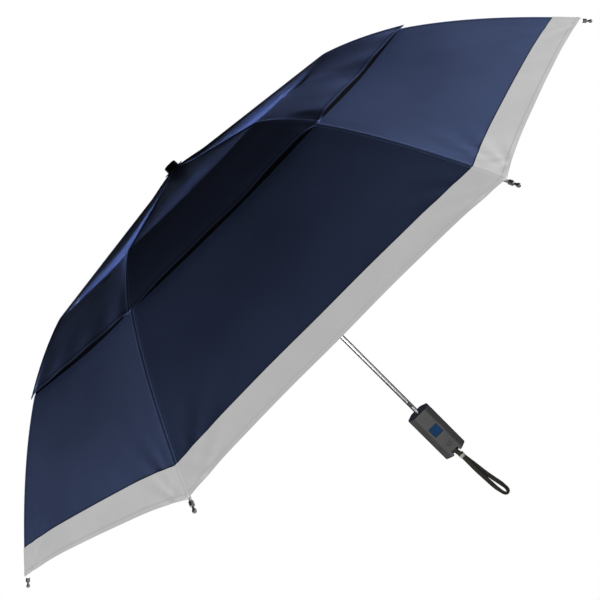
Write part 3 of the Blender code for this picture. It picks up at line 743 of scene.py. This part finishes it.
# ---------------------------------------------------------------- wrist strap
STRAP_ROUTE = [
    (-0.0010, -0.0092, -0.0360), (0.0002, -0.0093, -0.0430), (0.0014, -0.0094, -0.0510),
    (0.0014, -0.0096, -0.0620), (0.0013, -0.0099, -0.0800), (0.0020, -0.0100, -0.0980),
    (0.0026, -0.0096, -0.1120), (0.0036, -0.0090, -0.1260), (0.0060, -0.0084, -0.1380),
    (0.0096, -0.0080, -0.1430), (0.0126, -0.0076, -0.1410), (0.0136, -0.0072, -0.1340),
    (0.0124, -0.0068, -0.1240), (0.0098, -0.0064, -0.1100), (0.0074, -0.0062, -0.0950),
    (0.0054, -0.0062, -0.0780), (0.0034, -0.0064, -0.0620), (0.0020, -0.0066, -0.0510),
    (0.0006, -0.0066, -0.0430), (-0.0006, -0.0066, -0.0360),
]
STRAP_WIDE = 0.0065
STRAP_THICK = 0.0013
STRAP_TWIST = 0.45


def smooth_route(points, count):
    """Evenly spaced points on a smooth curve through the route's own points."""
    ends = [points[0] * 2 - points[1], *points, points[-1] * 2 - points[-2]]
    fine = []
    for k in range(len(points) - 1):
        a, b, c, d = ends[k : k + 4]
        for step in range(12):
            t = step / 12
            bend = 2 * a - 5 * b + 4 * c - d
            fine.append(0.5 * (2 * b + (c - a) * t + bend * t**2 + (3 * b - a - 3 * c + d) * t**3))
    fine.append(points[-1])
    fine = np.array(fine)
    places = along_line(fine)
    even = np.linspace(0, places[-1], count)
    return np.stack([np.interp(even, places, fine[:, k]) for k in range(3)], axis=1), places[-1]


def build_strap():
    """Flat webbing, face to the front at both ends and turned on edge round the loop's end."""
    path, length = smooth_route([np.array(p) for p in STRAP_ROUTE], 160)
    tangent = np.gradient(path, axis=0)
    tangent /= np.linalg.norm(tangent, axis=1, keepdims=True)
    centre = np.array((0.0100, -0.0078, -0.1330))
    share = np.linspace(0, 1, len(path))
    turned = STRAP_TWIST * ease((share - 0.17) / 0.25) * ease((0.83 - share) / 0.25)
    outward = path - centre
    outward[:, 1] = 0
    outward /= np.linalg.norm(outward, axis=1, keepdims=True)
    normal = (1 - turned)[:, None] * np.array((0, -1.0, 0)) + turned[:, None] * outward
    normal -= (normal * tangent).sum(axis=1, keepdims=True) * tangent
    normal /= np.linalg.norm(normal, axis=1, keepdims=True)
    wide = np.cross(tangent, normal)
    ring = [(-1, -0.5), (-0.93, -0.9), (-0.5, -1), (0, -1), (0.5, -1), (0.93, -0.9), (1, -0.5),
            (1, 0.5), (0.93, 0.9), (0.5, 1), (0, 1), (-0.5, 1), (-0.93, 0.9), (-1, 0.5)]
    points, where = [], []
    for k in range(len(path)):
        for u, v in ring:
            points.append(path[k] + wide[k] * u * STRAP_WIDE / 2 + normal[k] * v * STRAP_THICK / 2)
            where.append((u * STRAP_WIDE / 2, share[k] * length))
    count = len(ring)
    faces = []
    for k in range(len(path) - 1):
        for j in range(count):
            a, b = k * count + j, k * count + (j + 1) % count
            faces.append((a, b, b + count, a + count))
    faces.append(tuple(reversed(range(count))))
    faces.append(tuple(range((len(path) - 1) * count, len(path) * count)))
    mesh = bpy.data.meshes.new("strap_ribbon")
    mesh.from_pydata([tuple(p) for p in points], [], faces)
    mesh.polygons.foreach_set("use_smooth", [True] * len(mesh.polygons))
    layer = mesh.uv_layers.new(name="cloth")
    for loop in mesh.loops:
        layer.data[loop.index].uv = where[loop.vertex_index]
    mesh.materials.append(WEBBING)
    mesh.set_sharp_from_angle(angle=math.radians(50))
    obj = bpy.data.objects.new("strap_ribbon", mesh)
    bpy.context.scene.collection.objects.link(obj)
    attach(obj, "handle")
    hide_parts("wrist_strap")


build_strap()


# ---------------------------------------------------------------- stage, lights and camera
def area_light(name, at, aim, size, power, colour=(1, 1, 1), lights=None):
    """A soft box at a place, aimed at another; it may light one collection's objects only."""
    data = bpy.data.lights.new(name, "AREA")
    data.shape = "RECTANGLE"
    data.size, data.size_y = size
    data.energy = power
    data.color = colour
    obj = bpy.data.objects.new(name, data)
    obj.location = at
    obj.rotation_euler = (Vector(aim) - Vector(at)).to_track_quat("-Z", "Y").to_euler()
    obj.visible_camera = False
    if lights is not None:
        obj.light_linking.receiver_collection = lights
    bpy.context.scene.collection.objects.link(obj)
    return obj


def stage_piece(name, mesh):
    """A part of the surroundings that only the camera sees: it shines plain white and casts nothing."""
    material, _, shader = new_material(name)
    shader.inputs["Base Color"].default_value = (0.0, 0.0, 0.0, 1.0)
    shader.inputs["Specular IOR Level"].default_value = 0.0
    shader.inputs["Emission Color"].default_value = (*STAGE_WHITE, 1.0)
    shader.inputs["Emission Strength"].default_value = 1.0
    mesh.materials.append(material)
    obj = bpy.data.objects.new(name, mesh)
    bpy.context.scene.collection.objects.link(obj)
    for ray in ("diffuse", "glossy", "transmission", "volume_scatter", "shadow"):
        setattr(obj, f"visible_{ray}", False)
    return obj


def build_stage():
    floor_z = CAD_BOX[0][2] - FLOOR_BELOW
    half = STAGE_RADIUS
    floor = bpy.data.meshes.new("floor")
    corners = [(-half, -half, 0), (half, -half, 0), (half, half, 0), (-half, half, 0)]
    floor.from_pydata(corners, [], [(0, 1, 2, 3)])
    stage_piece("pale_floor", floor).location = (0, 0, floor_z)
    shaper = bmesh.new()
    bmesh.ops.create_uvsphere(shaper, u_segments=48, v_segments=24, radius=STAGE_RADIUS)
    dome = bpy.data.meshes.new("dome")
    shaper.to_mesh(dome)
    shaper.free()
    stage_piece("pale_backdrop", dome)


def build_world():
    """Soft light from all round: bright low down behind the umbrella, dim overhead and in front."""
    world = bpy.data.worlds.new("studio")
    bpy.context.scene.world = world
    world.use_nodes = True
    tree = world.node_tree
    coords = tree.nodes.new("ShaderNodeTexCoord")
    split = tree.nodes.new("ShaderNodeSeparateXYZ")
    tree.links.new(coords.outputs["Generated"], split.inputs["Vector"])
    behind = slope(tree, split.outputs["Y"], 0.15, 0.75)
    low = slope(tree, split.outputs["Z"], 0.42, 0.16)
    above = slope(tree, split.outputs["Z"], -0.25, 0.0)
    glow = maths(tree, "MULTIPLY", maths(tree, "MULTIPLY", behind, low), above)
    top = slope(tree, split.outputs["Z"], 0.9, 0.98)
    total = maths(tree, "MULTIPLY_ADD", glow, WORLD_BEHIND, WORLD_FILL)
    total = maths(tree, "MULTIPLY_ADD", top, WORLD_TOP, total)
    tree.links.new(total, tree.nodes["Background"].inputs["Strength"])
    colour = ramp(tree, glow, 0.0, 0.3, [(0.0, WORLD_COLOUR), (1.0, BEHIND_COLOUR)])
    tree.links.new(colour, tree.nodes["Background"].inputs["Color"])


def build_camera():
    data = bpy.data.cameras.new("camera")
    data.angle = math.radians(VIEW_DEG)
    data.clip_start = 0.01
    camera = bpy.data.objects.new("camera", data)
    aim = Vector(LOOK_AT) - Vector(EYE_AT)
    turn = aim.to_track_quat("-Z", "Y").to_matrix().to_4x4()
    roll = Matrix.Rotation(math.radians(-ROLL_DEG), 4, "Z")
    camera.matrix_world = Matrix.Translation(EYE_AT) @ turn @ roll
    bpy.context.scene.collection.objects.link(camera)
    bpy.context.scene.camera = camera


build_stage()
build_world()
build_camera()
canopy_only = bpy.data.collections.new("canopy_lit")
handle_only = bpy.data.collections.new("handle_lit")
LOW_PIECES = ("handle", "button", "badge", "strap", "lower_tube", "upper_tube", "shaft_catch")
for obj in bpy.context.scene.collection.all_objects:
    if obj.type == "MESH":
        (handle_only if obj.name.startswith(LOW_PIECES) else canopy_only).objects.link(obj)
HANDLE_TOP = (0.0, 0.0, 0.05)
area_light("right_key", (2.7, -1.1, -0.62), (0.3, -0.1, 0.35), (1.4, 0.8), KEY_POWER, lights=canopy_only)
area_light("left_fill", (-2.6, -1.2, -0.78), (-0.3, -0.1, 0.35), (1.4, 0.8), LEFT_POWER, lights=canopy_only)
area_light("front_low", (0.0, -2.8, -0.45), (0.0, -0.3, 0.35), (1.6, 0.8), FRONT_POWER, lights=canopy_only)
for side, name in ((-1, "rim_left"), (1, "rim_right")):
    rim = area_light(name, (side * 1.0, 2.8, 0.80), (side * 0.15, 0.0, 0.48), (0.8, 0.4), RIM_POWER,
                     RIM_COLOUR, lights=canopy_only)
    rim.visible_glossy = False
area_light("handle_front", (-0.35, -1.5, 0.0), HANDLE_TOP, (2.0, 0.6), HANDLE_POWER, lights=handle_only)
area_light("handle_right", (1.3, -0.9, -0.2), HANDLE_TOP, (0.3, 0.8), RIGHT_CARD_POWER, lights=handle_only)
bpy.context.scene.view_settings.view_transform = "Standard"
